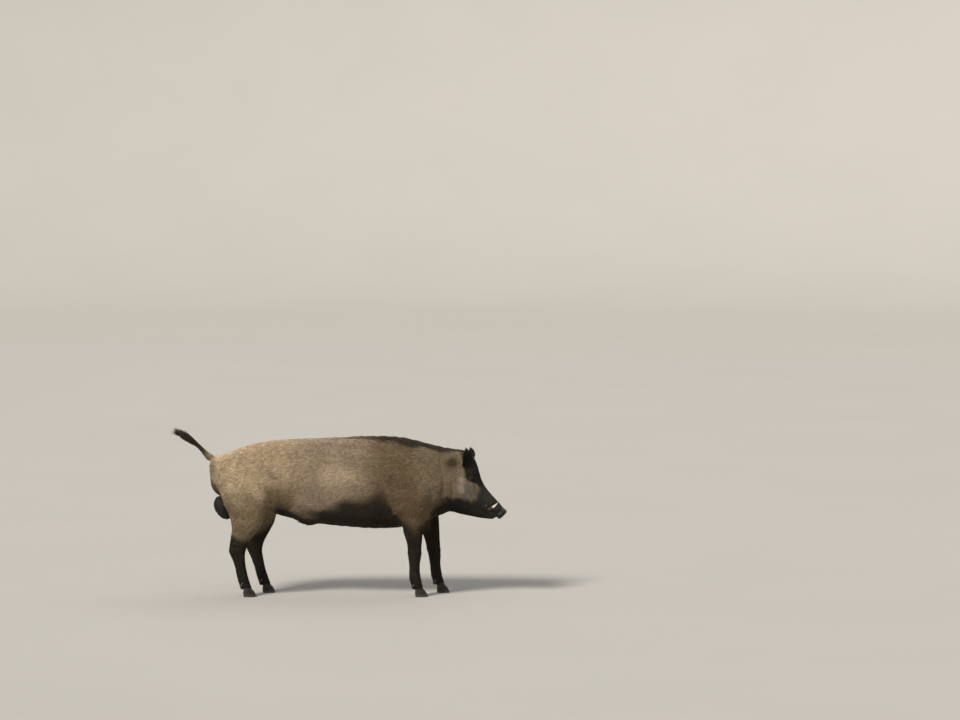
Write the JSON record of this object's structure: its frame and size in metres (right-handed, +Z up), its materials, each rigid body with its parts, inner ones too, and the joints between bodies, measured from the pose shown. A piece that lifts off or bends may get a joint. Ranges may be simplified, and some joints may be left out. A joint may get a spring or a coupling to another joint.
{
  "type": "wild boar",
  "caption": "Still, life-size adult male wild boar in a slow walk, with lowered head, upright ears, tusks and a raised tail, divided into its named body parts.",
  "frame": {"origin": "middle of the bounding box in plan, on the floor under the hooves", "axes": "+Z up; the boar stands along Y and faces -Y, with its right side towards -X"},
  "size_m": [0.3644, 1.6508, 0.8109],
  "materials": {
    "coat": "short, sparse bristles over hide",
    "dark_coat": "short dark bristles over hide",
    "snout": "bare damp skin",
    "eye": "wet gloss",
    "tusk": "smooth ivory",
    "hoof": "worn horn"
  },
  "bodies": {
    "root": {"trunk": "coat", "neck": "coat", "head": "coat", "snout_disc": "snout", "ear_right": "dark_coat", "eye_right": "eye", "tusk_lower_right": "tusk", "tusk_upper_right": "tusk", "ear_left": "dark_coat", "eye_left": "eye", "tusk_lower_left": "tusk", "tusk_upper_left": "tusk", "tail": "dark_coat", "tail_tassel": "dark_coat", "scrotum": "dark_coat", "leg_fore_right_upper": "coat", "leg_fore_right_lower": "dark_coat", "hoof_fore_right_inner": "hoof", "dewclaw_fore_right_inner": "hoof", "hoof_fore_right_outer": "hoof", "dewclaw_fore_right_outer": "hoof", "leg_fore_left_upper": "coat", "leg_fore_left_lower": "dark_coat", "hoof_fore_left_inner": "hoof", "dewclaw_fore_left_inner": "hoof", "hoof_fore_left_outer": "hoof", "dewclaw_fore_left_outer": "hoof", "leg_hind_right_upper": "coat", "leg_hind_right_lower": "dark_coat", "hoof_hind_right_inner": "hoof", "dewclaw_hind_right_inner": "hoof", "hoof_hind_right_outer": "hoof", "dewclaw_hind_right_outer": "hoof", "leg_hind_left_upper": "coat", "leg_hind_left_lower": "dark_coat", "hoof_hind_left_inner": "hoof", "dewclaw_hind_left_inner": "hoof", "hoof_hind_left_outer": "hoof", "dewclaw_hind_left_outer": "hoof"}
  },
  "joints": []
}
